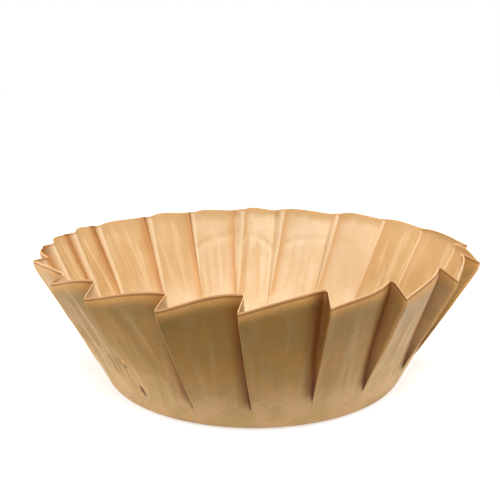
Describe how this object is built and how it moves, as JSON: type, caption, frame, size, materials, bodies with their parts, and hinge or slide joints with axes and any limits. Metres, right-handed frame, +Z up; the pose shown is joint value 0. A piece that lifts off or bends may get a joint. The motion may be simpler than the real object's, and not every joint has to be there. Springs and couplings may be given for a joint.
{
  "type": "cake pan liner",
  "caption": "Round parchment liner for a cake pan: a flat base, a rounded corner and a flaring wall laid into knife pleats that all lean one way.",
  "frame": {"origin": "centre of the underside of the flat base, where the liner rests", "axes": "+Z is up along the liner's axis, out of its mouth; X and Y are level, and the pattern of pleats repeats round Z"},
  "size_m": [0.23, 0.23, 0.0732],
  "materials": {
    "parchment": "satin"
  },
  "bodies": {
    "root": {"liner": "parchment"}
  },
  "joints": []
}
